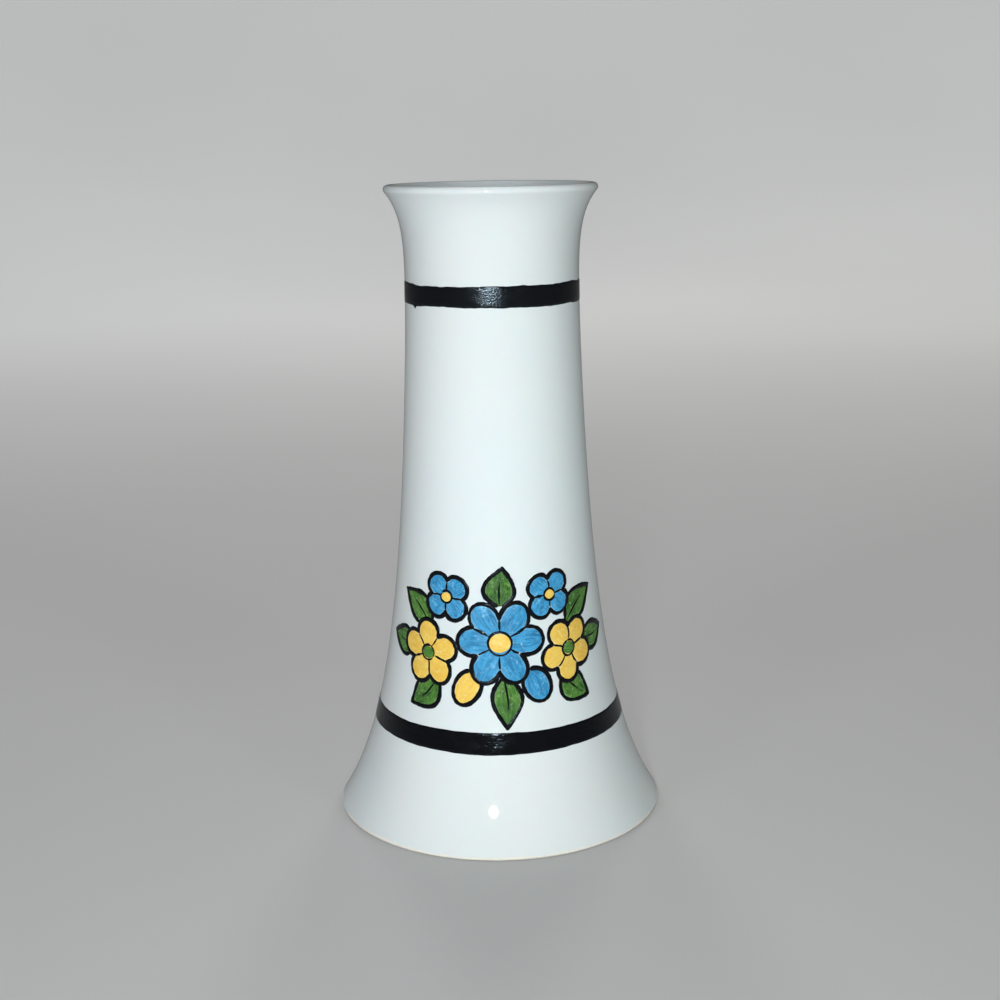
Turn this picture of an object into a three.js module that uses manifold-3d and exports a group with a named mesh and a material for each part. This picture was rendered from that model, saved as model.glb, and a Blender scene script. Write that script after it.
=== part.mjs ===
// Hat pin holder: a waisted porcelain body with a pierced plate luted inside its mouth,
// two painted bands and a posy of raised enamels. Millimetres, +Z up, the foot stands on
// z = 0 with its centre at the origin, and the painted side faces -Y.
import * as THREE from 'three';
import { mergeVertices } from 'three/addons/utils/BufferGeometryUtils.js';
import { TessellateModifier } from 'three/addons/modifiers/TessellateModifier.js';
import Module from 'manifold-3d';

const wasm = await Module();
wasm.setup();

// Outside of the body: a stem that a long taper and a short flare widen to the foot,
// and a second short flare widens to the lip
const HEIGHT = 121;
const STEM_RADIUS = 15.0;
const TAPER = 12.4;
const TAPER_RISE = 45.3;
const FOOT_FLARE = 4.75;
const FOOT_RISE = 12.6;
const LIP_FLARE = 5.15;
const LIP_RISE = 4.65;
const LIP_OUTER_ROUND = 0.8;
const LIP_INNER_ROUND = 1.4;

// Inside of the body, its floor and the foot ring
const WALL = 2.8;
const THINNING = 14;
const FLOOR = 3.2;
const FLOOR_FILLET = 2.5;
const RECESS = 1.6;
const RECESS_SLOPE_WIDTH = 1.9;
const FOOT_RING_WIDTH = 4.2;
const FOOT_EDGE_ROUND = 0.4;

// Pierced plate and the ledge that it is luted on
const SEAT_HEIGHT = 110.6;
const SEAT_WIDTH = 1.3;
const SEAT_TAPER = 2.6;
const LUTING_GAP = 0.12;
const PLATE_THICKNESS = 2.6;
const PLATE_DISH = 1.4;
const DISH_RADIUS = 12.2;
const PIN_HOLE_RADIUS = 2.2;
const PIN_HOLE_EASE = 0.5;
const PIN_HOLES_AROUND = 8;
const PIN_HOLE_CIRCLE = 8.6;

// Painted bands
const BAND_WIDTH = 3.87;
const LOWER_BAND_HEIGHT = 17.94;
const UPPER_BAND_HEIGHT = 99.53;
const BAND_GAP = 0.04;
const BAND_THICKNESS = 0.15;

// Enamels of the posy
const POSY_GAP = 0.08;
const FILL_THICKNESS = 0.2;
const OUTLINE_THICKNESS = 0.16;
const EYE_THICKNESS = 0.12;
const STROKE = 0.75;
const SEAM = 0.08;
const MIDRIB_WIDTH = 0.7;

// Drawing of the posy, as shares of a petal's reach, of a leaf's length and of its midrib
const BLOSSOM_CORE = 0.3;
const LEAF_FULLNESS = 0.85;
const MIDRIB_START = -0.3;
const MIDRIB_END = 0.66;
const MIDRIB_TAPER = 0.5;

// Fineness of the facets
const AROUND = 56;
const PLATE_AROUND = 28;
const HOLE_AROUND = 12;
const ENAMEL_FACET = 2.6;
const ROUND_STEPS = 3;
const OUTSIDE_ERROR = 0.022;
const INSIDE_ERROR = 0.15;
const LONGEST_STEP = 16;
const DISH_STEPS = 3;
const OVAL_SIDES = 12;
const LEAF_STEPS = 6;
const MIDRIB_STEPS = 4;
const ENAMEL_SPLITS = 8;
const SAME_POINT = 1e-4;
const SETTLING_PASSES = 30;

// Materials
const glaze = () => new THREE.MeshStandardMaterial({ color: 0xe6eef0, roughness: 0.08, metalness: 0 });
const enamel = (color) => new THREE.MeshStandardMaterial({ color, roughness: 0.22, metalness: 0 });
const BLACK = 0x0b0c0f;
const BLUE = 0x2f86c4;
const YELLOW = 0xf0bf35;
const GREEN = 0x3c7a33;

// Radius of the outside and its lean from the vertical at a height

function outerRadius(z) {
  const foot = TAPER * Math.exp(-z / TAPER_RISE) + FOOT_FLARE * Math.exp(-z / FOOT_RISE);
  const lip = LIP_FLARE * Math.exp(-(HEIGHT - z) / LIP_RISE);
  return STEM_RADIUS + foot + lip;
}

function lean(z) {
  const step = 0.001;
  return Math.atan((outerRadius(z + step) - outerRadius(z - step)) / (2 * step));
}

// An arc of a given radius rounds the wall off at the rim and at the foot's edge. It touches
// the wall where the wall's lean lets the arc end level with the rim or the foot.

function touchHeight(edge, round, upward) {
  let z = edge;
  for (let pass = 0; pass < SETTLING_PASSES; pass += 1) {
    z = edge - upward * round - round * Math.sin(lean(z));
  }
  return z;
}

// The lip is two arcs with one top point, so its wall follows from their two radii

const LIP_START = touchHeight(HEIGHT, LIP_OUTER_ROUND, 1);
const LIP_LEAN = lean(LIP_START);
const LIP_TOP_RADIUS = outerRadius(LIP_START) - LIP_OUTER_ROUND * Math.cos(LIP_LEAN);
const LIP_WALL = LIP_OUTER_ROUND + LIP_INNER_ROUND
  - (LIP_INNER_ROUND - LIP_OUTER_ROUND) * Math.sin(LIP_LEAN);
const FOOT_START = touchHeight(0, FOOT_EDGE_ROUND, -1);
const FOOT_LEAN = lean(FOOT_START);
const FOOT_EDGE_RADIUS = outerRadius(FOOT_START) - FOOT_EDGE_ROUND * Math.cos(FOOT_LEAN);

// The wall thins towards the lip. A point of the inside lies square in from the outside.

function wallAt(z) {
  const share = Math.min(1, Math.max(0, (LIP_START - z) / THINNING));
  return LIP_WALL + (WALL - LIP_WALL) * share;
}

function insidePoint(z) {
  const slope = lean(z);
  const wall = wallAt(z);
  return new THREE.Vector2(outerRadius(z) - wall * Math.cos(slope), z + wall * Math.sin(slope));
}

// Radius of the inside at its own height, found by stepping the outside height

function innerRadius(height) {
  let z = height;
  for (let pass = 0; pass < SETTLING_PASSES; pass += 1) {
    z += height - insidePoint(z).y;
  }
  return insidePoint(z).x;
}

function arc(centre, radius, from, to, steps) {
  const points = [];
  for (let i = 0; i <= steps; i += 1) {
    const angle = from + ((to - from) * i) / steps;
    const offset = new THREE.Vector2(Math.cos(angle), Math.sin(angle)).multiplyScalar(radius);
    points.push(offset.add(centre));
  }
  return points;
}

// Heights from low to high, closer together where the wall bends more, so that a straight
// facet between two of them strays from the curve by about the given error everywhere

function wallHeights(low, high, error) {
  const heights = [low];
  while (heights.at(-1) < high) {
    const z = heights.at(-1);
    const bend = outerRadius(z + 1) - 2 * outerRadius(z) + outerRadius(z - 1);
    heights.push(z + Math.min(LONGEST_STEP, Math.sqrt((8 * error) / bend)));
  }
  const stretch = (high - low) / (heights.at(-1) - low);
  return heights.map((z) => low + (z - low) * stretch);
}

function turned(profile, around = AROUND) {
  const geometry = new THREE.LatheGeometry(profile, around);
  geometry.rotateX(Math.PI / 2);
  return geometry;
}

// Body: recessed underside, foot ring, outside, lip, inside with the plate's ledge, floor

function bodyProfile() {
  const edgeCentre = new THREE.Vector2(FOOT_EDGE_RADIUS, FOOT_EDGE_ROUND);
  const ringInner = FOOT_EDGE_RADIUS - FOOT_RING_WIDTH;
  const profile = [
    new THREE.Vector2(0, RECESS),
    new THREE.Vector2(ringInner - RECESS_SLOPE_WIDTH, RECESS),
    new THREE.Vector2(ringInner, 0),
    ...arc(edgeCentre, FOOT_EDGE_ROUND, -Math.PI / 2, -FOOT_LEAN, ROUND_STEPS),
  ];
  for (const z of wallHeights(FOOT_START, LIP_START, OUTSIDE_ERROR).slice(1, -1)) {
    profile.push(new THREE.Vector2(outerRadius(z), z));
  }
  const outerCentre = new THREE.Vector2(LIP_TOP_RADIUS, HEIGHT - LIP_OUTER_ROUND);
  const innerCentre = new THREE.Vector2(LIP_TOP_RADIUS, HEIGHT - LIP_INNER_ROUND);
  const lipInside = arc(innerCentre, LIP_INNER_ROUND, Math.PI / 2, Math.PI - LIP_LEAN, ROUND_STEPS);
  profile.push(...arc(outerCentre, LIP_OUTER_ROUND, -LIP_LEAN, Math.PI / 2, ROUND_STEPS));
  profile.push(...lipInside.slice(1));

  for (const z of wallHeights(SEAT_HEIGHT, LIP_START, INSIDE_ERROR).reverse().slice(1, -1)) {
    profile.push(insidePoint(z));
  }
  const seatRadius = innerRadius(SEAT_HEIGHT);
  profile.push(new THREE.Vector2(seatRadius, SEAT_HEIGHT));
  profile.push(new THREE.Vector2(seatRadius - SEAT_WIDTH, SEAT_HEIGHT));
  const wellTop = SEAT_HEIGHT - SEAT_TAPER;
  const filletHeight = RECESS + FLOOR + FLOOR_FILLET;
  for (const z of wallHeights(filletHeight, wellTop, INSIDE_ERROR).reverse()) {
    profile.push(new THREE.Vector2(innerRadius(z), z));
  }
  const filletCentre = new THREE.Vector2(innerRadius(filletHeight) - FLOOR_FILLET, filletHeight);
  profile.push(...arc(filletCentre, FLOOR_FILLET, 0, -Math.PI / 2, ROUND_STEPS).slice(1));
  profile.push(new THREE.Vector2(0, RECESS + FLOOR));
  return profile;
}

// A closed mesh as a solid for joining and cutting, and back

function asSolid(geometry) {
  const bare = new THREE.BufferGeometry();
  bare.setAttribute('position', geometry.attributes.position);
  bare.setIndex(geometry.index);
  const merged = mergeVertices(bare, SAME_POINT);
  return new wasm.Manifold(new wasm.Mesh({
    numProp: 3,
    vertProperties: merged.attributes.position.array,
    triVerts: new Uint32Array(merged.index.array),
  }));
}

function asGeometry(solid) {
  const mesh = solid.getMesh();
  const geometry = new THREE.BufferGeometry();
  geometry.setAttribute('position', new THREE.BufferAttribute(mesh.vertProperties, 3));
  geometry.setIndex(new THREE.BufferAttribute(mesh.triVerts, 1));
  geometry.computeVertexNormals();
  return geometry;
}

// Pierced plate: a dished disc on the ledge, with one hole in the middle and a ring of
// holes round it. Each hole has a plain bore and a mouth eased by a cone at 45 degrees.

function plateTop(radius) {
  const rim = SEAT_HEIGHT + LUTING_GAP + PLATE_THICKNESS;
  return rim - PLATE_DISH * Math.max(0, 1 - (radius / DISH_RADIUS) ** 2);
}

function plateGeometry() {
  const rim = innerRadius(SEAT_HEIGHT) - LUTING_GAP;
  const underside = [];
  const top = [];
  for (let i = 0; i <= DISH_STEPS; i += 1) {
    const radius = (DISH_RADIUS * i) / DISH_STEPS;
    underside.push(new THREE.Vector2(radius, plateTop(radius) - PLATE_THICKNESS));
    top.push(new THREE.Vector2(radius, plateTop(radius)));
  }
  underside.push(new THREE.Vector2(rim, plateTop(rim) - PLATE_THICKNESS));
  top.push(new THREE.Vector2(rim, plateTop(rim)));
  let plate = asSolid(turned([...underside, ...top.reverse()], PLATE_AROUND));
  const places = [new THREE.Vector2(0, 0)];
  for (let i = 0; i < PIN_HOLES_AROUND; i += 1) {
    const angle = (2 * Math.PI * (i + 0.5)) / PIN_HOLES_AROUND;
    places.push(new THREE.Vector2(Math.cos(angle), Math.sin(angle)).multiplyScalar(PIN_HOLE_CIRCLE));
  }
  for (const place of places) {
    const mouth = plateTop(place.length());
    const below = mouth - 2 * PLATE_THICKNESS;
    const drill = turned([
      new THREE.Vector2(0, below),
      new THREE.Vector2(PIN_HOLE_RADIUS, below),
      new THREE.Vector2(PIN_HOLE_RADIUS, mouth - PIN_HOLE_EASE),
      new THREE.Vector2(PIN_HOLE_RADIUS + 2 * PIN_HOLE_EASE, mouth + PIN_HOLE_EASE),
      new THREE.Vector2(0, mouth + PIN_HOLE_EASE),
    ], HOLE_AROUND);
    drill.translate(place.x, place.y, 0);
    plate = plate.subtract(asSolid(drill));
  }
  return asGeometry(plate);
}

// Painted band: a thin ring of enamel that follows the wall

function bandGeometry(low) {
  const inner = [];
  const outer = [];
  for (const z of wallHeights(low, low + BAND_WIDTH, OUTSIDE_ERROR)) {
    inner.push(new THREE.Vector2(outerRadius(z) + BAND_GAP, z));
    outer.push(new THREE.Vector2(outerRadius(z) + BAND_GAP + BAND_THICKNESS, z));
  }
  return turned([...outer, ...inner.reverse(), outer[0]]);
}

// The posy is drawn flat, as x along the wall from the middle of the front and y for the
// height, and is then laid round the wall. Every shape is an oval or a leaf, which can be
// drawn larger by a margin for its outline or for the seam round it.

function ovalShape(centre, halfLength, halfWidth, aim) {
  const { x, y } = centre;
  const curve = new THREE.EllipseCurve(x, y, halfLength, halfWidth, 0, 2 * Math.PI, false, aim);
  return new THREE.Shape(curve.getPoints(OVAL_SIDES).slice(0, -1));
}

// A point of a leaf: how far from its root along it, and how far aside

function leafPoint(leaf, reach, aside) {
  const aim = THREE.MathUtils.degToRad(leaf.aim);
  const along = new THREE.Vector2(Math.cos(aim), Math.sin(aim));
  const across = new THREE.Vector2(-along.y, along.x);
  const point = new THREE.Vector2(...leaf.at);
  return point.addScaledVector(along, reach).addScaledVector(across, aside);
}

// The middle line of a leaf bows aside most at half its length

function leafBow(leaf, t) {
  return leaf.bow * 4 * Math.max(0, t) * (1 - t);
}

function leafShape(leaf, margin) {
  const sides = [1, -1].map((side) => {
    const points = [];
    for (let i = 0; i <= LEAF_STEPS; i += 1) {
      const t = i / LEAF_STEPS;
      const belly = Math.sin(Math.PI * t ** LEAF_FULLNESS) * (leaf.width / 2 + margin);
      const reach = t * (leaf.length + 2 * margin) - margin;
      points.push(leafPoint(leaf, reach, leafBow(leaf, t) - side * belly));
    }
    return points;
  });
  return new THREE.Shape([...sides[0], ...sides[1].reverse().slice(1, -1)]);
}

// The slit of the midrib opens at the leaf's root and narrows towards its tip

function midribShape(leaf, narrowing) {
  const half = MIDRIB_WIDTH / 2 - narrowing;
  const sides = [1, -1].map((side) => {
    const points = [];
    for (let i = 0; i <= MIDRIB_STEPS; i += 1) {
      const t = MIDRIB_START + ((MIDRIB_END - MIDRIB_START) * i) / MIDRIB_STEPS;
      const taper = half * (1 - MIDRIB_TAPER * Math.max(0, t));
      points.push(leafPoint(leaf, t * leaf.length - narrowing, leafBow(leaf, t) - side * taper));
    }
    return points;
  });
  return new THREE.Shape([...sides[0], ...sides[1].reverse()]);
}

function slab(shape, low, high) {
  const geometry = new THREE.ExtrudeGeometry(shape, { depth: high - low, bevelEnabled: false });
  geometry.translate(0, 0, low);
  return asSolid(geometry);
}

function joined(solids) {
  return solids.reduce((sum, solid) => sum.add(solid));
}

// A blossom is a ring of oval petals that meet in its middle

function blossomSlab(blossom, margin, low, high) {
  const middle = new THREE.Vector2(...blossom.at);
  const half = blossom.reach / 2;
  const coreRadius = blossom.reach * BLOSSOM_CORE;
  const parts = [slab(ovalShape(middle, coreRadius, coreRadius, 0), low, high)];
  for (let i = 0; i < blossom.petals; i += 1) {
    const aim = THREE.MathUtils.degToRad(blossom.turn) + (2 * Math.PI * i) / blossom.petals;
    const centre = new THREE.Vector2(Math.cos(aim), Math.sin(aim)).multiplyScalar(half).add(middle);
    const petal = ovalShape(centre, half + margin, blossom.petalWidth / 2 + margin, aim);
    parts.push(slab(petal, low, high));
  }
  return joined(parts);
}

const BLOSSOMS = [
  { name: 'anemone', at: [0.4, 38.3], petals: 6, reach: 8.0, petalWidth: 4.8, turn: 60,
    eye: 2.0, color: BLUE, eyeColor: YELLOW },
  { name: 'primrose_left', at: [-14.0, 35.5], petals: 5, reach: 6.0, petalWidth: 4.4, turn: 20,
    eye: 1.3, color: YELLOW, eyeColor: GREEN },
  { name: 'primrose_right', at: [14.3, 35.9], petals: 5, reach: 5.8, petalWidth: 4.3, turn: 52,
    eye: 1.3, color: YELLOW, eyeColor: GREEN },
  { name: 'speedwell_left', at: [-9.8, 46.4], petals: 4, reach: 4.6, petalWidth: 4.1, turn: 40,
    eye: 1.0, color: BLUE, eyeColor: YELLOW },
  { name: 'speedwell_right', at: [10.1, 46.6], petals: 4, reach: 4.5, petalWidth: 4.0, turn: 50,
    eye: 1.0, color: BLUE, eyeColor: YELLOW },
];
const LEAVES = [
  { name: 'leaf_top', at: [0.5, 45.0], aim: 86, length: 7.2, width: 5.4, bow: 0.4 },
  { name: 'leaf_upper_left', at: [-13.2, 40.4], aim: 141, length: 9.0, width: 5.0, bow: -0.7 },
  { name: 'leaf_upper_right', at: [13.9, 40.8], aim: 38, length: 8.8, width: 5.0, bow: 0.7 },
  { name: 'leaf_outer_left', at: [-17.0, 36.8], aim: 177, length: 8.0, width: 4.6, bow: 0.6 },
  { name: 'leaf_outer_right', at: [17.8, 37.0], aim: 5, length: 7.6, width: 4.6, bow: -0.6 },
  { name: 'leaf_lower_left', at: [-11.8, 31.4], aim: 222, length: 8.6, width: 5.0, bow: 0.7 },
  { name: 'leaf_lower_right', at: [12.6, 31.8], aim: -40, length: 8.4, width: 5.0, bow: -0.7 },
  { name: 'leaf_bottom', at: [0.9, 32.0], aim: -86, length: 9.2, width: 5.2, bow: 0.5 },
];
const BUDS = [
  { name: 'bud_left', at: [-5.9, 29.9], aim: 238, length: 6.4, width: 4.6, color: YELLOW },
  { name: 'bud_right', at: [7.4, 30.2], aim: -60, length: 6.2, width: 4.6, color: BLUE },
];

function budShape(bud, margin) {
  const aim = THREE.MathUtils.degToRad(bud.aim);
  return ovalShape(new THREE.Vector2(...bud.at), bud.length / 2 + margin, bud.width / 2 + margin, aim);
}

// Cuts go right through the flat enamels
const BELOW = -1;
const ABOVE = 1;

// Blossoms lie in front of leaves and buds, so their outlines cut into those

const blossomEdges = joined(BLOSSOMS.map((each) => blossomSlab(each, STROKE, BELOW, ABOVE)));
const blossomEdgesWide = joined(BLOSSOMS.map((each) => blossomSlab(each, STROKE + SEAM, BELOW, ABOVE)));

function leafFill(leaf, margin, low, high) {
  return slab(leafShape(leaf, margin), low, high)
    .subtract(slab(midribShape(leaf, margin), BELOW, ABOVE))
    .subtract(margin > 0 ? blossomEdges : blossomEdgesWide);
}

function budFill(bud, margin, low, high) {
  return slab(budShape(bud, margin), low, high).subtract(margin > 0 ? blossomEdges : blossomEdgesWide);
}

function outlineSolid() {
  const strokes = joined([
    ...BLOSSOMS.map((each) => blossomSlab(each, STROKE, 0, OUTLINE_THICKNESS)),
    ...LEAVES.map((each) => slab(leafShape(each, STROKE), 0, OUTLINE_THICKNESS)),
    ...BUDS.map((each) => slab(budShape(each, STROKE), 0, OUTLINE_THICKNESS)),
  ]);
  const fields = joined([
    ...BLOSSOMS.map((each) => blossomSlab(each, SEAM, BELOW, ABOVE)),
    ...LEAVES.map((each) => leafFill(each, SEAM, BELOW, ABOVE)),
    ...BUDS.map((each) => budFill(each, SEAM, BELOW, ABOVE)),
  ]);
  return strokes.subtract(fields);
}

function laidOnWall(solid, lift) {
  const flat = asGeometry(solid);
  flat.deleteAttribute('normal');
  const fine = new TessellateModifier(ENAMEL_FACET, ENAMEL_SPLITS).modify(flat);
  const place = fine.attributes.position;
  for (let i = 0; i < place.count; i += 1) {
    const z = place.getY(i);
    const wall = outerRadius(z);
    const angle = place.getX(i) / wall;
    const radius = wall + POSY_GAP + lift + place.getZ(i);
    place.setXYZ(i, radius * Math.sin(angle), -radius * Math.cos(angle), z);
  }
  fine.computeVertexNormals();
  return fine;
}

// The piece as it stands

const holder = new THREE.Group();

function add(name, geometry, material) {
  const mesh = new THREE.Mesh(geometry, material);
  mesh.name = name;
  holder.add(mesh);
}

add('body', turned(bodyProfile()), glaze());
add('pin_plate', plateGeometry(), glaze());
add('lower_band', bandGeometry(LOWER_BAND_HEIGHT), enamel(BLACK));
add('upper_band', bandGeometry(UPPER_BAND_HEIGHT), enamel(BLACK));
add('posy_outline', laidOnWall(outlineSolid(), 0), enamel(BLACK));
for (const each of BLOSSOMS) {
  add(each.name, laidOnWall(blossomSlab(each, 0, 0, FILL_THICKNESS), 0), enamel(each.color));
  const eye = slab(ovalShape(new THREE.Vector2(...each.at), each.eye, each.eye, 0), 0, EYE_THICKNESS);
  add(`${each.name}_eye`, laidOnWall(eye, FILL_THICKNESS + SEAM), enamel(each.eyeColor));
}
for (const each of LEAVES) {
  add(each.name, laidOnWall(leafFill(each, 0, 0, FILL_THICKNESS), 0), enamel(GREEN));
}
for (const each of BUDS) {
  add(each.name, laidOnWall(budFill(each, 0, 0, FILL_THICKNESS), 0), enamel(each.color));
}

export default holder;
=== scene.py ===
# Hat pin holder, dressed and lit. Lengths are in metres, +Z is up, the foot stands on z = 0
# with its centre at the origin, and the painted side faces -Y.
import math
import random

import bpy
import numpy as np
from mathutils import Matrix, Vector


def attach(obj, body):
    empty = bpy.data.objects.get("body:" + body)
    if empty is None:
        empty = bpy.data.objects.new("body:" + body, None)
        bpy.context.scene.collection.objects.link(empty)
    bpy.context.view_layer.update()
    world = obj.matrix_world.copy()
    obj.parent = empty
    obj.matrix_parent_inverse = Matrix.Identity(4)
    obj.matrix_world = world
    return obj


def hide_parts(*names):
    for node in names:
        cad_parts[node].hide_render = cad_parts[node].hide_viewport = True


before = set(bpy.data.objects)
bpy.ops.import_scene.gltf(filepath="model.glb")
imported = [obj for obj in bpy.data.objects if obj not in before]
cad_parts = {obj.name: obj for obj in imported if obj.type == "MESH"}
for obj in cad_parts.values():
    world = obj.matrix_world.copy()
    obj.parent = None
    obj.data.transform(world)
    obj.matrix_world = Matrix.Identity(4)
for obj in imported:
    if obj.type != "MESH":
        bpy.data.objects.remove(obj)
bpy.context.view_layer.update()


# Body
# White porcelain cast in one with its floor, with an even wall from the flared foot to the
# flared lip, dipped in clear glaze and fired standing on a foot ring that was wiped bare.

MM = 0.001
HEIGHT = 121 * MM
STEM_RADIUS = 15.0 * MM
TAPER = 12.4 * MM
TAPER_RISE = 45.3 * MM
FOOT_FLARE = 4.75 * MM
FOOT_RISE = 12.6 * MM
LIP_FLARE = 5.15 * MM
LIP_RISE = 4.65 * MM
LIP_OUTER_ROUND = 0.8 * MM
LIP_INNER_ROUND = 1.4 * MM
LIP_THINNING = 14 * MM
WALL = 2.8 * MM
FLOOR = 3.2 * MM
FLOOR_FILLET = 2.5 * MM
FOOT_RING_WIDTH = 4.2 * MM
FOOT_EDGE_ROUND = 0.4 * MM
RING_INNER_ROUND = 0.5 * MM
RING_ROUND_START = math.radians(215)
RING_INSET = 0.9 * MM
RING_BEVEL = 0.35 * MM
EDGE_LIFT = 0.16 * MM
SEAT_HEIGHT = 110.6 * MM
SEAT_WIDTH = 1.3 * MM
SEAT_EASE = 0.3 * MM
SEAT_TAPER = 2.6 * MM
RECESS = 1.6 * MM

# The curve from the recess down to the ring, as (inwards from the ring, up) in recess depths
RECESS_CURVE = [(4.6, 1.0), (1.9, 0.96), (1.3, 0.8), (0.6, 0.34)]

# Points round a turned form, rows of points up its walls, and steps round its edges
AROUND = 192
OUTSIDE_ROWS = 90
MOUTH_ROWS = 18
WELL_ROWS = 28
LIP_STEPS = 10
EDGE_STEPS = 8
RING_STEPS = 4
EVENNESS = 0.4
ON_AXIS = 0.0001 * MM
SHARP_ANGLE = math.radians(50)

# How closely heights and slopes are worked out
SLOPE_STEP = 0.001 * MM
TOUCH_ROUNDS = 30
INSIDE_ROUNDS = 20


def outer_radius(z):
    """Radius of the outside at a height, or at an array of heights."""
    foot = TAPER * np.exp(-z / TAPER_RISE) + FOOT_FLARE * np.exp(-z / FOOT_RISE)
    return STEM_RADIUS + foot + LIP_FLARE * np.exp(-(HEIGHT - z) / LIP_RISE)


def lean(z):
    """How far the outside leans out from the vertical at a height, in radians."""
    widening = outer_radius(z + SLOPE_STEP) - outer_radius(z - SLOPE_STEP)
    return math.atan(widening / (2 * SLOPE_STEP))


def touch_height(edge, rounding, upward):
    """Where an edge arc that ends level with the rim or the foot touches the wall."""
    z = edge
    for _ in range(TOUCH_ROUNDS):
        z = edge - upward * rounding - rounding * math.sin(lean(z))
    return z


LIP_START = touch_height(HEIGHT, LIP_OUTER_ROUND, 1)
LIP_LEAN = lean(LIP_START)
LIP_TOP_RADIUS = outer_radius(LIP_START) - LIP_OUTER_ROUND * math.cos(LIP_LEAN)
LIP_WALL = LIP_OUTER_ROUND + LIP_INNER_ROUND - (LIP_INNER_ROUND - LIP_OUTER_ROUND) * math.sin(LIP_LEAN)
FOOT_START = touch_height(EDGE_LIFT, FOOT_EDGE_ROUND, -1)
FOOT_LEAN = lean(FOOT_START)
FOOT_EDGE_RADIUS = outer_radius(FOOT_START) - FOOT_EDGE_ROUND * math.cos(FOOT_LEAN)


def inside_point(z):
    """The point of the inside that lies square in from the outside at a height."""
    share = min(1, max(0, (LIP_START - z) / LIP_THINNING))
    wall = LIP_WALL + (WALL - LIP_WALL) * share
    return outer_radius(z) - wall * math.cos(lean(z)), z + wall * math.sin(lean(z))


def inner_radius(height):
    """Radius of the inside at its own height."""
    z = height
    for _ in range(INSIDE_ROUNDS):
        z += height - inside_point(z)[1]
    return inside_point(z)[0]


def arc(centre, radius, start, end, steps):
    """Points of an arc in the profile's plane, from one angle to another."""
    angles = np.linspace(start, end, steps + 1)
    return [(centre[0] + radius * math.cos(a), centre[1] + radius * math.sin(a)) for a in angles]


def eased(low, high, count):
    """Heights from low to high, closer together at both ends, where the wall bends most."""
    even = np.linspace(0, 1, count)
    crowded = (1 - np.cos(np.pi * even)) / 2
    return low + (high - low) * (EVENNESS * even + (1 - EVENNESS) * crowded)


def new_piece(name, vertices, faces, material=None):
    """A mesh piece in the frame's own coordinates, smooth but for its real corners."""
    mesh = bpy.data.meshes.new(name)
    mesh.from_pydata([tuple(v) for v in vertices], [], faces)
    mesh.validate()
    mesh.polygons.foreach_set("use_smooth", [True] * len(mesh.polygons))
    mesh.set_sharp_from_angle(angle=SHARP_ANGLE)
    piece = bpy.data.objects.new(name, mesh)
    bpy.context.scene.collection.objects.link(piece)
    if material:
        mesh.materials.append(material)
    return piece


def turned(profile, around=AROUND):
    """Vertices and faces of a profile of (radius, height) turned about +Z.

    The surface closes where the profile starts or ends on the axis.
    """
    vertices, rows, faces = [], [], []
    for radius, height in profile:
        if radius < ON_AXIS:
            rows.append([len(vertices)] * around)
            vertices.append((0, 0, height))
            continue
        rows.append(list(range(len(vertices), len(vertices) + around)))
        for i in range(around):
            angle = 2 * math.pi * i / around
            vertices.append((radius * math.sin(angle), -radius * math.cos(angle), height))
    for low, high in zip(rows, rows[1:]):
        for i in range(around):
            j = (i + 1) % around
            corners = [low[i], low[j], high[j], high[i]]
            faces.append(list(dict.fromkeys(corners)))
    return vertices, faces


def body_profile():
    """Underside, foot ring, outside, lip, inside, ledge for the plate, floor."""
    ring_inner = FOOT_EDGE_RADIUS - FOOT_RING_WIDTH
    profile = [(0, RECESS)]
    profile += [(ring_inner - inwards * RECESS, up * RECESS) for inwards, up in RECESS_CURVE]
    centre = (ring_inner + RING_INNER_ROUND, RING_INNER_ROUND)
    profile += arc(centre, RING_INNER_ROUND, RING_ROUND_START, math.pi * 3 / 2, RING_STEPS)
    ring_outer = FOOT_EDGE_RADIUS - RING_INSET
    profile += [(ring_outer, 0), (ring_outer + RING_BEVEL, EDGE_LIFT)]

    centre = (FOOT_EDGE_RADIUS, EDGE_LIFT + FOOT_EDGE_ROUND)
    profile += arc(centre, FOOT_EDGE_ROUND, -math.pi / 2, -FOOT_LEAN, EDGE_STEPS)
    profile += [(float(outer_radius(z)), z) for z in eased(FOOT_START, LIP_START, OUTSIDE_ROWS)[1:-1]]

    centre = (LIP_TOP_RADIUS, HEIGHT - LIP_OUTER_ROUND)
    profile += arc(centre, LIP_OUTER_ROUND, -LIP_LEAN, math.pi / 2, LIP_STEPS)
    centre = (LIP_TOP_RADIUS, HEIGHT - LIP_INNER_ROUND)
    profile += arc(centre, LIP_INNER_ROUND, math.pi / 2, math.pi - LIP_LEAN, LIP_STEPS)[1:]
    profile += [inside_point(z) for z in eased(SEAT_HEIGHT, LIP_START, MOUTH_ROWS)[::-1][1:-1]]

    seat = inner_radius(SEAT_HEIGHT)
    ledge = seat - SEAT_WIDTH
    profile += [(seat, SEAT_HEIGHT), (ledge + SEAT_EASE, SEAT_HEIGHT), (ledge, SEAT_HEIGHT - SEAT_EASE)]

    floor_top = RECESS + FLOOR
    fillet_height = floor_top + FLOOR_FILLET
    well_heights = np.linspace(SEAT_HEIGHT - SEAT_TAPER, fillet_height, WELL_ROWS)
    profile += [(inner_radius(z), z) for z in well_heights]
    centre = (inner_radius(fillet_height) - FLOOR_FILLET, fillet_height)
    profile += arc(centre, FLOOR_FILLET, 0, -math.pi / 2, EDGE_STEPS)[1:]
    profile.append((0, floor_top))
    return profile


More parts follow.
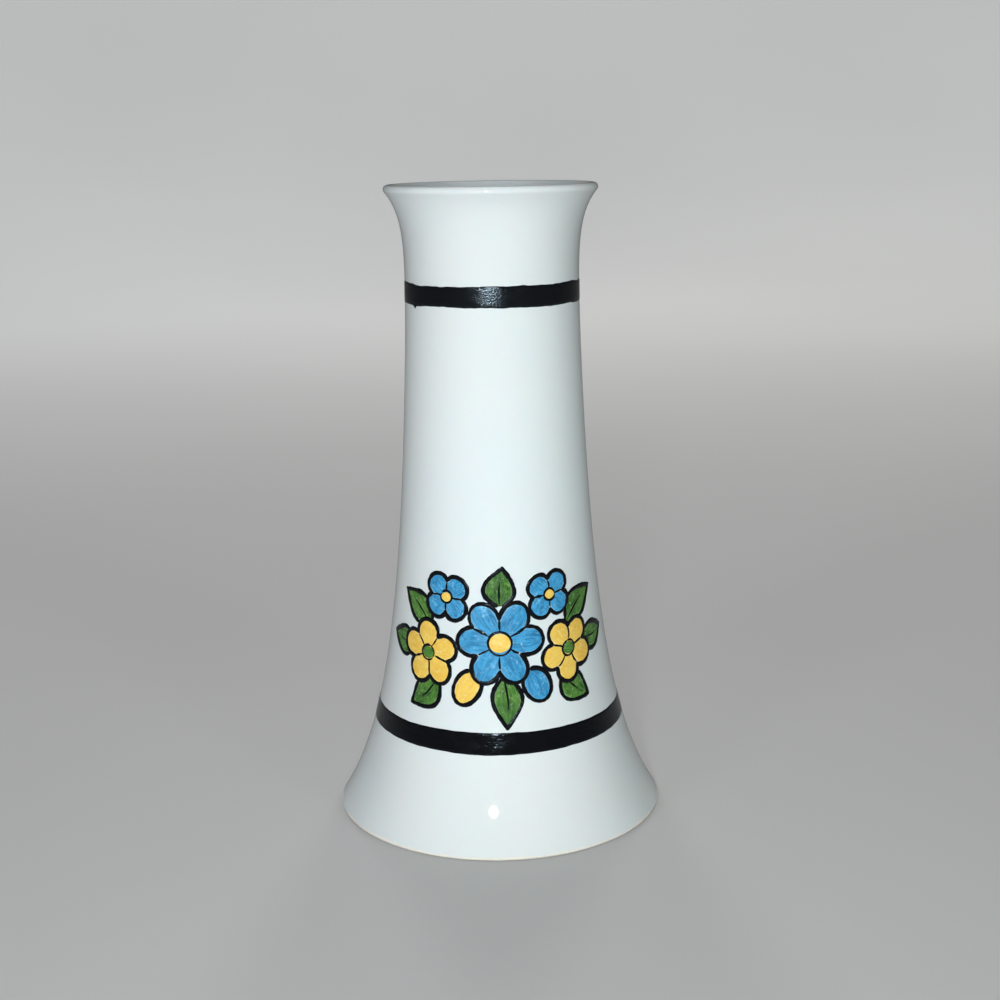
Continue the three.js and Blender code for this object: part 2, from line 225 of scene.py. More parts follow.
class Finish:
    """A material with one glossy shader, and a short way to add nodes and join them."""

    def __init__(self, name, **sockets):
        self.material = bpy.data.materials.new(name)
        self.material.use_nodes = True
        self.tree = self.material.node_tree
        self.shader = self.tree.nodes["Principled BSDF"]
        for socket, value in sockets.items():
            self.shader.inputs[socket.replace("_", " ")].default_value = value

    def add(self, kind, inputs=None, **settings):
        """A node of that kind. An input is a value, or another node's output to join."""
        node = self.tree.nodes.new("ShaderNode" + kind)
        for key, value in settings.items():
            setattr(node, key, value)
        for key, value in (inputs or {}).items():
            if isinstance(value, bpy.types.NodeSocket):
                self.tree.links.new(value, node.inputs[key])
            else:
                node.inputs[key].default_value = value
        return node

    def place(self):
        """Places on the object, in metres."""
        return self.add("TexCoord").outputs["Object"]

    def noise(self, place, waves, detail=2.0, roughness=0.5):
        """Soft noise from 0 to 1, with about that many waves to the metre."""
        inputs = {"Vector": place, "Scale": waves, "Detail": detail, "Roughness": roughness}
        return self.add("TexNoise", inputs).outputs["Fac"]

    def ranged(self, value, low, high, to_low=0.0, to_high=1.0, smooth=True):
        """A value from low to high brought to from to_low to to_high, and held at both ends."""
        kind = "SMOOTHSTEP" if smooth else "LINEAR"
        inputs = {"Value": value, "From Min": low, "From Max": high, "To Min": to_low, "To Max": to_high}
        return self.add("MapRange", inputs, interpolation_type=kind).outputs["Result"]

    def math(self, operation, first, second=0.0):
        """One sum of two values."""
        return self.add("Math", {0: first, 1: second}, operation=operation).outputs[0]

    def mixed(self, share, first, second):
        """A colour between two colours, which a Mix node has as inputs 6 and 7 and output 2."""
        node = self.add("Mix", data_type="RGBA")
        for index, value in ((0, share), (6, first), (7, second)):
            if isinstance(value, bpy.types.NodeSocket):
                self.tree.links.new(value, node.inputs[index])
            else:
                node.inputs[index].default_value = value if index == 0 else (*value, 1)
        return node.outputs[2]

    def bump(self, height, distance, strength=1.0, below=None):
        """A relief that stands up by a distance, over the relief below it."""
        node = self.add("Bump", {"Height": height, "Distance": distance, "Strength": strength})
        if below:
            self.tree.links.new(below, node.inputs["Normal"])
        return node.outputs["Normal"]

    def use(self, socket, value):
        """Joins a value to a socket of the shader."""
        self.tree.links.new(value, self.shader.inputs[socket])


COOL_WHITE = (0.770, 0.835, 0.850)
WARM_WHITE = (0.792, 0.838, 0.834)
GLAZE_GLOSS = (0.03, 0.06)
FLOW_DEPTH = 0.07 * MM
PEEL_DEPTH = 0.0022 * MM

# Specks. Their radii and those of their pits are measured in cells, and a cell holds one when
# its own random share is above SPECK_RARITY
SPECK_GREY = (0.16, 0.19, 0.22)
SPECK_CELLS = 120.0
SPECK_RARITY = 0.955
SPECK_RADII = (0.012, 0.028)
SPECK_DARKNESS = 0.8
PIT_RADII = (0.01, 0.05)
PIT_DEPTH = 0.03 * MM

# The bare foot ring
BARE_CREAM = (0.885, 0.86, 0.79)
BARE_SHADE = (0.80, 0.765, 0.68)
BARE_HEIGHT = 0.72 * MM
BARE_WANDER = 0.16 * MM
BARE_FADE = 0.12 * MM
BARE_ROUGHNESS = 0.62
BARE_GRAIN = 0.05 * MM


def glaze_finish():
    """Clear glaze over white porcelain, with a few kiln specks, and bare on the foot ring."""
    coat = Finish("glaze", IOR=1.5, Subsurface_Weight=0.12, Subsurface_Scale=1.5 * MM)
    place = coat.place()
    height = coat.add("SeparateXYZ", {0: place}).outputs["Z"]
    cloud = coat.ranged(coat.noise(place, 22, detail=3), 0.35, 0.65)
    white = coat.mixed(cloud, COOL_WHITE, WARM_WHITE)

    # Iron specks: a dot in a few of the cells, under 0.5 mm across
    cells = coat.add("TexVoronoi", {"Vector": place, "Scale": SPECK_CELLS})
    chosen = coat.add("SeparateColor", {0: cells.outputs["Color"]})
    few = coat.math("GREATER_THAN", chosen.outputs[0], SPECK_RARITY)
    size = coat.ranged(chosen.outputs[1], 0, 1, *SPECK_RADII, smooth=False)
    dot = coat.math("LESS_THAN", cells.outputs["Distance"], size)
    speck = coat.math("MULTIPLY", coat.math("MULTIPLY", few, dot), SPECK_DARKNESS)
    white = coat.mixed(speck, white, SPECK_GREY)

    # Bare foot ring: the glaze stops in an uneven line just above it
    waver = coat.noise(place, 160, detail=3)
    wander = coat.ranged(waver, 0.3, 0.7, -BARE_WANDER, BARE_WANDER, smooth=False)
    edge = coat.math("ADD", height, wander)
    bare = coat.ranged(edge, BARE_HEIGHT, BARE_HEIGHT + BARE_FADE, 1, 0)
    grain = coat.noise(place, 2600, detail=4, roughness=0.7)
    cream = coat.mixed(coat.ranged(grain, 0.35, 0.7), BARE_CREAM, BARE_SHADE)
    coat.use("Base Color", coat.mixed(bare, white, cream))

    # The glaze flowed a little, has a faint orange peel, and dips in a pit at each speck
    gloss = coat.ranged(coat.noise(place, 70, detail=3), 0.3, 0.7, *GLAZE_GLOSS)
    coat.use("Roughness", coat.math("ADD", gloss, coat.math("MULTIPLY", bare, BARE_ROUGHNESS)))
    flow = coat.bump(coat.noise(place, 75), FLOW_DEPTH)
    peel = coat.bump(coat.noise(place, 700), PEEL_DEPTH, below=flow)
    pit = coat.math("MULTIPLY", few, coat.ranged(cells.outputs["Distance"], *PIT_RADII, 1, 0))
    pitted = coat.bump(coat.math("SUBTRACT", 0.0, pit), PIT_DEPTH, below=peel)
    coat.use("Normal", coat.bump(coat.math("MULTIPLY", grain, bare), BARE_GRAIN, below=pitted))
    return coat.material


glaze = glaze_finish()
body = new_piece("porcelain_body", *turned(body_profile()), glaze)
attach(body, "root")
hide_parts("body")


# Pin plate
# A dished porcelain disc pierced while leather-hard, luted to its ledge inside the mouth with
# slip and glazed with the body, so that glaze has pooled in a soft fillet round its edge.

LUTING_GAP = 0.12 * MM
PLATE_THICKNESS = 2.6 * MM
PLATE_DISH = 1.4 * MM
DISH_RADIUS = 12.2 * MM
PIN_HOLE_RADIUS = 2.2 * MM
PIN_HOLE_ROUND = 0.55 * MM
PIN_HOLES_AROUND = 8
PIN_HOLE_CIRCLE = 8.6 * MM
DRILL_PAST = 1 * MM

# The plain edge stops a drop below the top, and the fillet runs from there up to the wall
EDGE_DROP = 0.2 * MM
FILLET = 0.9 * MM
FILLET_HOLLOW = 1.2
FILLET_GAP = 0.02 * MM

PLATE_AROUND = 128
DISH_POINTS = 12
FILLET_POINTS = 7
HOLE_AROUND = 40
HOLE_STEPS = 6
PLATE_SHARP_ANGLE = math.radians(38)


def plate_top(radius):
    """Height of the plate's top at a radius: a shallow dish that is level near its edge."""
    rim = SEAT_HEIGHT + LUTING_GAP + PLATE_THICKNESS
    return rim - PLATE_DISH * max(0, 1 - (radius / DISH_RADIUS) ** 2)


def plate_profile():
    """Underside from the middle out, the edge against the wall, the fillet, the top back in."""
    rim = inner_radius(SEAT_HEIGHT) - LUTING_GAP / 2
    top = plate_top(rim)
    dish = np.linspace(0, DISH_RADIUS, DISH_POINTS)
    profile = [(r, plate_top(r) - PLATE_THICKNESS) for r in dish]
    profile += [(rim, SEAT_HEIGHT + LUTING_GAP), (rim, top - EDGE_DROP)]
    for share in np.linspace(1, 0, FILLET_POINTS):
        height = top + FILLET * (1 - math.cos(share * math.pi / 2))
        inward = FILLET * (1 - math.sin(share * math.pi / 2)) ** FILLET_HOLLOW
        profile.append((inner_radius(height) - FILLET_GAP - inward, height))
    fillet_foot = profile[-1][0]
    profile += [(r, plate_top(r)) for r in dish[::-1] if r < fillet_foot]
    return profile


def pin_hole_profile():
    """A plain bore that rounds over into the plate's top, at height 0, and its underside."""
    widest = PIN_HOLE_RADIUS + PIN_HOLE_ROUND
    underside = -PLATE_THICKNESS
    profile = [(0, underside - DRILL_PAST), (widest, underside - DRILL_PAST)]
    low = (widest, underside + PIN_HOLE_ROUND)
    profile += arc(low, PIN_HOLE_ROUND, -math.pi / 2, -math.pi, HOLE_STEPS)
    high = (widest, -PIN_HOLE_ROUND)
    profile += arc(high, PIN_HOLE_ROUND, math.pi, math.pi / 2, HOLE_STEPS)
    profile += [(widest, DRILL_PAST), (0, DRILL_PAST)]
    return profile


def pin_hole_spots():
    """The middles of the holes: one in the middle of the plate, the others in a ring."""
    spots = [Vector((0, 0))]
    for i in range(PIN_HOLES_AROUND):
        angle = 2 * math.pi * (i + 0.5) / PIN_HOLES_AROUND
        spots.append(Vector((math.cos(angle), math.sin(angle))) * PIN_HOLE_CIRCLE)
    return spots


def pin_hole_drill():
    """All the holes as one piece, each square to the dish: pierced flat, then pressed."""
    hole_vertices, hole_faces = turned(pin_hole_profile(), HOLE_AROUND)
    vertices, faces = [], []
    for spot in pin_hole_spots():
        slope = 2 * PLATE_DISH * spot.length / DISH_RADIUS ** 2
        tilted = Matrix.Rotation(math.atan(slope), 4, Vector((spot.y, -spot.x, 0)))
        set_in = Matrix.Translation((spot.x, spot.y, plate_top(spot.length))) @ tilted
        first = len(vertices)
        vertices += [set_in @ Vector(vertex) for vertex in hole_vertices]
        faces += [[first + i for i in face] for face in hole_faces]
    return new_piece("drill", vertices, faces)


plate = new_piece("pierced_plate", *turned(plate_profile(), PLATE_AROUND), glaze)
drill = pin_hole_drill()
piercing = plate.modifiers.new("holes", "BOOLEAN")
piercing.object = drill
piercing.operation = "DIFFERENCE"
piercing.solver = "MANIFOLD"
pierced = bpy.data.meshes.new_from_object(plate.evaluated_get(bpy.context.evaluated_depsgraph_get()))
plate.modifiers.clear()
plate.data = pierced
pierced.polygons.foreach_set("use_smooth", [True] * len(pierced.polygons))
pierced.set_sharp_from_angle(angle=PLATE_SHARP_ANGLE)
bpy.data.objects.remove(drill)
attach(plate, "root")
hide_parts("pin_plate")


# Painted bands
# Black on-glaze enamel, laid with a loaded brush while the piece turned on a banding wheel:
# its edges wander a little, and it is a skin of about 0.07 mm that rounds off at both edges.

BAND_WIDTH = 3.87 * MM
BAND_THICKNESS = 0.07 * MM
BAND_FLATNESS = 8
BAND_AROUND = 720
BAND_ACROSS = 12
LOWER_BAND_HEIGHT = 17.94 * MM
LOWER_BAND_WANDER = 0.055 * MM
LOWER_BAND_SEED = 11
UPPER_BAND_HEIGHT = 99.53 * MM
UPPER_BAND_WANDER = 0.085 * MM
UPPER_BAND_SEED = 4
WANDER_WAVES = (2, 3, 5, 8, 11, 17, 23, 31, 43, 57)
WANDER_FALL = 0.09
WANDER_LEAST = 0.4

# The place on the left of the upper band where the paint ran down
RUN_ANGLE = math.radians(-59.5)
RUN_SPREAD = 0.024
RUN_DROP = 0.5 * MM

# An enamel skin closes on an underside that is sunk into the glaze, a little short of its edges
SUNK = 0.03 * MM
BAND_UNDERSIDE = 0.9

JET = (0.0040, 0.0040, 0.0050)
JET_THIN = (0.014, 0.009, 0.009)
JET_SHEEN = (0.66, 0.84, 1.0, 1)
GRIT_HEIGHT = 0.012 * MM

# Brush lines: the noise is drawn out sideways and pressed together upwards
LINE_HEIGHT = 0.04 * MM
LINE_STRETCH = (0.25, 0.25, 6)


def wandering(rng, size):
    """A closed wander round the piece: a sum of waves of falling size."""
    parts = []
    for waves in WANDER_WAVES:
        height = size * rng.uniform(WANDER_LEAST, 1) / (1 + WANDER_FALL * waves)
        parts.append((waves, height, rng.uniform(0, 2 * math.pi)))
    return lambda angle: sum(height * math.cos(waves * angle + start) for waves, height, start in parts)


def black_finish(name, index, pebbles, pebble_height, smoothest, roughest):
    """Black enamel: glossy, with brush lines round the piece and pebbles that scatter a light.

    index is that of its refraction, and pebbles how many there are to the metre.
    """
    coat = Finish(name, IOR=index, Specular_Tint=JET_SHEEN)
    place = coat.place()
    thin = coat.ranged(coat.noise(place, 240, detail=4, roughness=0.6), 0.55, 0.8)
    coat.use("Base Color", coat.mixed(thin, JET, JET_THIN))
    patches = coat.ranged(coat.noise(place, 300, detail=3), 0.4, 0.62)
    coat.use("Roughness", coat.ranged(patches, 0, 1, smoothest, roughest))
    drawn_out = coat.add("Mapping", {"Vector": place, "Scale": LINE_STRETCH}).outputs["Vector"]
    lines = coat.bump(coat.noise(drawn_out, 620, detail=3), LINE_HEIGHT, strength=0.4)
    pebbled = coat.bump(coat.noise(place, pebbles, detail=1), pebble_height, below=lines)
    coat.use("Normal", coat.bump(coat.noise(place, 5200, detail=1), GRIT_HEIGHT, below=pebbled))
    return coat.material


smooth_black = black_finish("black_enamel", index=1.50, pebbles=2300, pebble_height=0.040 * MM,
                            smoothest=0.07, roughest=0.2)
grainy_black = black_finish("grainy_black_enamel", index=1.72, pebbles=3600, pebble_height=0.046 * MM,
                            smoothest=0.13, roughest=0.22)


def painted_band(name, low, wander, seed, enamel, run_drop=0.0):
    """A band round the wall, whose paint ran down by run_drop in one place."""
    rng = random.Random(seed)
    lower_edge = wandering(rng, wander)
    upper_edge = wandering(rng, wander)
    steps = np.sin(np.linspace(-1, 1, BAND_ACROSS + 1) * math.pi / 2)
    section = [(across, BAND_THICKNESS * (1 - abs(across) ** BAND_FLATNESS) ** 0.5) for across in steps]
    section += [(BAND_UNDERSIDE, -SUNK), (-BAND_UNDERSIDE, -SUNK)]
    vertices, faces = [], []
    for i in range(BAND_AROUND):
        angle = 2 * math.pi * i / BAND_AROUND
        off = (angle - RUN_ANGLE + math.pi) % (2 * math.pi) - math.pi
        bottom = low + lower_edge(angle) - run_drop * math.exp(-((off / RUN_SPREAD) ** 2))
        top = low + BAND_WIDTH + upper_edge(angle)
        for across, lift in section:
            z = bottom + (top - bottom) * (across + 1) / 2
            radius = float(outer_radius(z)) + lift
            vertices.append((radius * math.sin(angle), -radius * math.cos(angle), z))
    ring = len(section)
    for i in range(BAND_AROUND):
        j = (i + 1) % BAND_AROUND
        for k in range(ring):
            m = (k + 1) % ring
            faces.append((i * ring + k, j * ring + k, j * ring + m, i * ring + m))
    piece = new_piece(name, vertices, faces, enamel)
    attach(piece, "root")
    return piece


lower_band = painted_band("lower_painted_band", LOWER_BAND_HEIGHT, LOWER_BAND_WANDER,
                          LOWER_BAND_SEED, smooth_black)
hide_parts("lower_band")
upper_band = painted_band("upper_painted_band", UPPER_BAND_HEIGHT, UPPER_BAND_WANDER,
                          UPPER_BAND_SEED, grainy_black, RUN_DROP)
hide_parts("upper_band")


# Blossoms
# Fields of coloured enamel brushed onto the glazed wall and fired on: one large blossom of
# six petals, with two of five and two of four round it. Each petal is one pull of the brush from
# the middle outwards, the eye is a dot over their roots, and all are outlined in black.

# The posy is drawn flat, x along the wall from the middle of the front and y the height. A row
# holds, in millimetres and degrees: name, middle, petals, reach and width of a petal, direction
# of the first petal, radius of the eye, colour of the petals and of the eye.
BLOSSOMS = [
    ("anemone", (0.4, 38.3), 6, 8.0, 4.8, 60, 2.0, "blue", "yellow"),
    ("primrose_left", (-14.0, 35.5), 5, 6.0, 4.4, 20, 1.3, "yellow", "green"),
    ("primrose_right", (14.3, 35.9), 5, 5.8, 4.3, 52, 1.3, "yellow", "green"),
    ("speedwell_left", (-9.8, 46.4), 4, 4.6, 4.1, 40, 1.0, "blue", "yellow"),
    ("speedwell_right", (10.1, 46.6), 4, 4.5, 4.0, 50, 1.0, "blue", "yellow"),
]
FIELD_THICKNESS = 0.10 * MM
FIELD_FLATNESS = 5
FULL_AT = 0.35 * MM
EDGE_DIP = 0.004 * MM
UNDERSIDE = (0.7, 0, -0.7)
POINTS_ALONG = 34
POINTS_ACROSS = 14
WAVER_WAVES = (1, 2, 3, 5)
WAVER_SHIFT = 6
POSY_SEED = 21

# The one hand that draws the whole posy, stroke after stroke
hand = random.Random(POSY_SEED)


def on_wall(x, y, lift):
    """The place in the frame of a point of the flat drawing, raised off the wall."""
    wall = outer_radius(y)
    angle = x / wall
    return np.stack([(wall + lift) * np.sin(angle), -(wall + lift) * np.cos(angle), y], -1)


def pointing(direction):
    """The unit vector in a direction of the drawing, and the one a quarter turn to its left."""
    along = np.array([math.cos(direction), math.sin(direction)])
    return along, np.array([-along[1], along[0]])


def leftward(path):
    """The unit vector to the left of a path at each of its points."""
    way = np.gradient(path, axis=0)
    way /= np.linalg.norm(way, axis=1, keepdims=True)
    return np.stack([-way[:, 1], way[:, 0]], -1)


def wavering(count, size):
    """A slow random waver along a stroke, as a steady but human hand leaves it."""
    t = np.linspace(0, 1, count)
    waver = np.zeros(count)
    for waves in WAVER_WAVES:
        height = size / waves * hand.uniform(-1, 1)
        waver += height * np.cos(math.pi * waves * t + hand.uniform(0, WAVER_SHIFT))
    return waver


def enamel_strip(path, half, thickness, flatness, points=POINTS_ACROSS):
    """A closed skin of enamel along a path, of a half width at each point.

    flatness is how flat its top is before it rounds off. Returns vertices, faces, and for each
    vertex how far along (0 to 1) and across (-1 to 1) the brush stroke it lies.
    """
    count = len(path)
    side = leftward(path)
    steps = np.sin(np.linspace(-1, 1, points + 1) * math.pi / 2)
    section = [(across, (1 - abs(across) ** flatness) ** 0.5) for across in steps]
    section += [(across, None) for across in UNDERSIDE]
    swell = np.sqrt(np.clip(half / FULL_AT, 0, 1))
    run = np.linspace(0, 1, count)
    vertices, marks = [], []
    for across, rise in section:
        flat = path + side * (half * across)[:, None]
        lift = np.full(count, -SUNK) if rise is None else thickness * rise * swell - EDGE_DIP
        vertices.append(on_wall(flat[:, 0], flat[:, 1], lift))
        marks.append(np.stack([run, np.full(count, across), np.zeros(count)], -1))
    vertices = np.stack(vertices, 1).reshape(-1, 3)
    marks = np.stack(marks, 1).reshape(-1, 3)
    ring = len(section)
    faces = []
    for i in range(count - 1):
        for k in range(ring):
            m = (k + 1) % ring
            faces.append((i * ring + k, (i + 1) * ring + k, (i + 1) * ring + m, i * ring + m))
    faces.append(tuple(range(ring)))
    faces.append(tuple((count - 1) * ring + k for k in range(ring))[::-1])
    return vertices, faces, marks


def enamel_piece(name, strips, material):
    """Several strips as one piece, with its brush marks stored on its points."""
    vertices, faces, marks = [], [], []
    first = 0
    for index, (strip_vertices, strip_faces, strip_marks) in enumerate(strips):
        vertices.append(strip_vertices)
        faces += [tuple(first + i for i in face) for face in strip_faces]
        numbered = strip_marks.copy()
        numbered[:, 2] = index
        marks.append(numbered)
        first += len(strip_vertices)
    piece = new_piece(name, np.concatenate(vertices), faces, material)
    stored = piece.data.attributes.new("brush", "FLOAT_VECTOR", "POINT")
    stored.data.foreach_set("vector", np.concatenate(marks).astype(np.float32).ravel())
    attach(piece, "root")
    return piece


# How long and how fine the streaks of a brush stroke are, and how unlike those of the next
STREAK_ALONG = 1.6
STREAK_ACROSS = 3.2
STROKES_APART = 7.3

# How much thin and worn places lighten a colour
MISSED_SHARE = 0.65
EDGE_WEAR = 0.4
SPECK_WEAR = 0.55
ENAMEL_GLOSS = (0.12, 0.30)
ENAMEL_RIDGES = 0.03 * MM


def enamel_finish(name, deep, full, thin, scuffed, streaky):
    """Brushed enamel: streaks of thick and thin colour along the stroke, worn at the edges.

    streaky is the share of its unevenness that follows the brush. The rest is cloudy.
    """
    coat = Finish(name, IOR=1.5)
    place = coat.place()
    brush = coat.add("Attribute", attribute_name="brush").outputs["Vector"]
    split = coat.add("SeparateXYZ", {0: brush})
    apart = coat.math("MULTIPLY", split.outputs[2], STROKES_APART)
    along = coat.math("ADD", coat.math("MULTIPLY", split.outputs[0], STREAK_ALONG), apart)
    across = coat.math("MULTIPLY", split.outputs[1], STREAK_ACROSS)
    stroke = coat.add("CombineXYZ", {0: along, 1: across, 2: apart}).outputs[0]
    streaks = coat.ranged(coat.noise(stroke, 1.9, detail=4, roughness=0.62), 0.34, 0.64)
    cloud = coat.ranged(coat.noise(place, 330, detail=4, roughness=0.6), 0.36, 0.62)
    streaked = coat.math("MULTIPLY", streaks, streaky)
    clouded = coat.math("MULTIPLY", cloud, 1 - streaky)
    colour = coat.mixed(coat.math("ADD", streaked, clouded), deep, full)

    # Places that the brush nearly missed, then wear along the edges and in small specks
    missed = coat.ranged(coat.noise(place, 640, detail=4, roughness=0.65), 0.57, 0.70)
    colour = coat.mixed(coat.math("MULTIPLY", missed, MISSED_SHARE), colour, thin)
    edge = coat.ranged(coat.math("ABSOLUTE", split.outputs[1]), 0.78, 1.0)
    specks = coat.ranged(coat.noise(place, 1900, detail=3, roughness=0.6), 0.62, 0.70)
    edge_wear = coat.math("MULTIPLY", edge, EDGE_WEAR)
    speck_wear = coat.math("MULTIPLY", specks, SPECK_WEAR)
    worn = coat.math("MAXIMUM", edge_wear, speck_wear)
    coat.use("Base Color", coat.mixed(worn, colour, scuffed))

    coat.use("Roughness", coat.ranged(coat.noise(place, 700, detail=3), 0.35, 0.65, *ENAMEL_GLOSS))
    ridges = coat.bump(streaks, ENAMEL_RIDGES, strength=0.6)
    grain = coat.noise(place, 2600, detail=3)
    coat.use("Normal", coat.bump(grain, ENAMEL_RIDGES, strength=0.4, below=ridges))
    return coat.material


ENAMELS = {
    "blue": enamel_finish("blue_enamel", deep=(0.022, 0.170, 0.360), full=(0.072, 0.410, 0.740),
                          thin=(0.20, 0.55, 0.84), scuffed=(0.46, 0.71, 0.84), streaky=0.7),
    "yellow": enamel_finish("yellow_enamel", deep=(0.86, 0.51, 0.070), full=(0.94, 0.67, 0.145),
                            thin=(0.94, 0.76, 0.28), scuffed=(0.92, 0.83, 0.52), streaky=0.5),
    "green": enamel_finish("green_enamel", deep=(0.018, 0.075, 0.018), full=(0.125, 0.310, 0.055),
                           thin=(0.25, 0.46, 0.13), scuffed=(0.42, 0.58, 0.35), streaky=0.55),
}

# Each petal is a little thicker than the last, so that where two cross one lies on top
PETAL_LEVEL = 0.04
PETAL_SHOULDER = 0.6
PETAL_ROOT = 0.42
PETAL_CROWDING = 1.5
PETAL_BEND = 0.12 * MM
PETAL_WAVER = 0.04
PETAL_TURN = 0.05
PETAL_REACHES = (0.97, 1.02)
PETAL_HEART = 0.55
EYE_THICKNESS = 0.16 * MM
EYE_FLATNESS = 4
EYE_POINTS = 26
EYE_END = 0.999
EYE_WAVER = 0.05


def petal_widths(t, width):
    """Half width along a petal: a broad root, a full shoulder and a round tip."""
    growth = np.sin(np.clip(t / PETAL_SHOULDER, 0, 1) * math.pi / 2)
    root = PETAL_ROOT + (1 - PETAL_ROOT) * growth
    tip = np.sqrt(np.clip(1 - ((t - PETAL_SHOULDER) / (1 - PETAL_SHOULDER)) ** 2, 0, 1))
    return width / 2 * np.where(t < PETAL_SHOULDER, root, tip)


def petal(centre, direction, reach, width, eye, thickness):
    """The field of one petal, and its rim from root to tip and back."""
    t = 1 - (1 - np.linspace(0, 1, POINTS_ALONG)) ** PETAL_CROWDING
    along, across = pointing(direction)
    start = eye / 2
    bend = wavering(len(t), PETAL_BEND) * t
    path = centre + along * (start + (reach - start) * t)[:, None] + across * bend[:, None]
    half = petal_widths(t, width) * (1 + wavering(len(t), PETAL_WAVER))
    field = enamel_strip(path, half, thickness, FIELD_FLATNESS)
    left = path + across * half[:, None]
    right = path - across * half[:, None]
    return field, np.concatenate([left, right[::-1][1:]])


def disc(centre, radius, thickness):
    """A round dot of enamel."""
    t = np.sin(np.linspace(-1, 1, EYE_POINTS) * math.pi / 2) * EYE_END
    path = np.stack([centre[0] + radius * t, np.full(len(t), centre[1])], -1)
    half = radius * np.sqrt(1 - t ** 2) * (1 + wavering(len(t), EYE_WAVER))
    return enamel_strip(path, half, thickness, EYE_FLATNESS)


# The outliner's fine brush, whose strokes come in a few thicknesses for the same reason
STROKE_WIDTH = 0.84 * MM
STROKE_TAPER = 0.5 * MM
STROKE_BLUNT = 0.3
STROKE_THICKNESS = 0.15 * MM
STROKE_FLATNESS = 3
STROKE_LEVEL = 0.02
STROKE_LEVELS = 7
STROKE_WAVER = 0.16
STROKE_RAGGED = 0.28
STROKE_SWAY = 0.07 * MM
STROKE_STEP = 0.14 * MM
STROKE_ACROSS = 8
FEWEST_STEPS = 8
SHORTEST_RUN = 4
PATH_EASING = 6
RAGGED_EASING = 3
SAME_SPOT = 1e-9

# The scalloped edge of a blossom, the seams between its petals, and the ring round its eye
PETAL_OUTSET = 0.26 * MM
SEAM_WIDTH = 0.66 * MM
SEAM_TAPER = 1.6 * MM
SEAM_BLUNT = 0.35
SEAM_PAST = 0.3 * MM
SEAM_SWAY = 0.25 * MM
SEAM_ENDS = (1.0, 1.15)
SEAM_POINTS = 80
RING_WIDTH = 0.58 * MM
RING_REACH = 1.1
RING_OVERLAP = 1.04
RING_WAVER = 0.04
RING_POINTS = 60

# The black strokes of the whole posy, and the edges behind which leaves and buds are hidden
outline_strips = []
blossom_edges = []


def smooth_path(points):
    """The same path at even spacing, with its corners eased."""
    gaps = np.linalg.norm(np.diff(points, axis=0), axis=1)
    run = np.concatenate([[0], np.cumsum(gaps)])
    apart = np.concatenate([[True], gaps > SAME_SPOT])
    run, points = run[apart], points[apart]
    even = np.linspace(0, run[-1], max(FEWEST_STEPS, int(run[-1] / STROKE_STEP)))
    path = np.stack([np.interp(even, run, points[:, k]) for k in (0, 1)], -1)
    for _ in range(PATH_EASING):
        path[1:-1] = (path[:-2] + 2 * path[1:-1] + path[2:]) / 4
    return path


def outward(path, centre, distance):
    """The path moved sideways by a distance, away from a centre."""
    side = leftward(path)
    middle = len(path) // 2
    if np.dot(side[middle], path[middle] - centre) < 0:
        side = -side
    return path + side * np.asarray(distance).reshape(-1, 1)


def inside(points, rim):
    """Which of the points lie inside a closed rim: those with an odd count of rim to their right."""
    x, y = points[:, 0][:, None], points[:, 1][:, None]
    x0, y0 = rim[:, 0][None], rim[:, 1][None]
    x1, y1 = np.roll(x0, -1), np.roll(y0, -1)
    spans = (y0 > y) != (y1 > y)
    rise = np.where(y1 == y0, 1, y1 - y0)
    crossed = spans & (x < (x1 - x0) * (y - y0) / rise + x0)
    return crossed.sum(1) % 2 == 1


def open_runs(path, rims):
    """The runs of a path that no rim covers."""
    covered = np.zeros(len(path), bool)
    for rim in rims:
        covered |= inside(path, rim)
    runs, current = [], []
    for point, hidden in zip(path, covered):
        if hidden:
            runs.append(current)
            current = []
        else:
            current.append(point)
    runs.append(current)
    return [np.array(run) for run in runs if len(run) > SHORTEST_RUN]


def ragged(count, size):
    """A short random raggedness along a stroke, where the brush drags over the glaze."""
    values = np.array([hand.uniform(-1, 1) for _ in range(count)])
    for _ in range(RAGGED_EASING):
        values[1:-1] = (values[:-2] + values[1:-1] + values[2:]) / 3
    return values * size


def outline(points, width=STROKE_WIDTH, taper=STROKE_TAPER, blunt=STROKE_BLUNT, rims=()):
    """Strokes of the outliner's brush along a path, where no rim covers it.

    Over a length of taper, each end of a stroke thins down to a share of blunt.
    """
    for path in open_runs(smooth_path(np.asarray(points, float)), rims):
        count = len(path)
        from_end = np.minimum(np.arange(count), np.arange(count)[::-1]) * STROKE_STEP
        ends = np.clip(from_end / taper, 0, 1) ** 0.5
        half = width / 2 * (blunt + (1 - blunt) * ends)
        half = half * (1 + wavering(count, STROKE_WAVER) + ragged(count, STROKE_RAGGED))
        sway = np.stack([wavering(count, STROKE_SWAY), wavering(count, STROKE_SWAY)], -1)
        thickness = STROKE_THICKNESS * (1 + STROKE_LEVEL * (len(outline_strips) % STROKE_LEVELS))
        outline_strips.append(enamel_strip(path + sway, half, thickness, STROKE_FLATNESS, STROKE_ACROSS))


def ring_path(centre, radius, start):
    """A little more than once round a circle, drawn by hand from an angle in radians."""
    turn = np.linspace(start, start + 2 * math.pi * RING_OVERLAP, RING_POINTS)
    reach = radius * (1 + wavering(RING_POINTS, RING_WAVER))
    return np.stack([centre[0] + reach * np.cos(turn), centre[1] + reach * np.sin(turn)], -1)


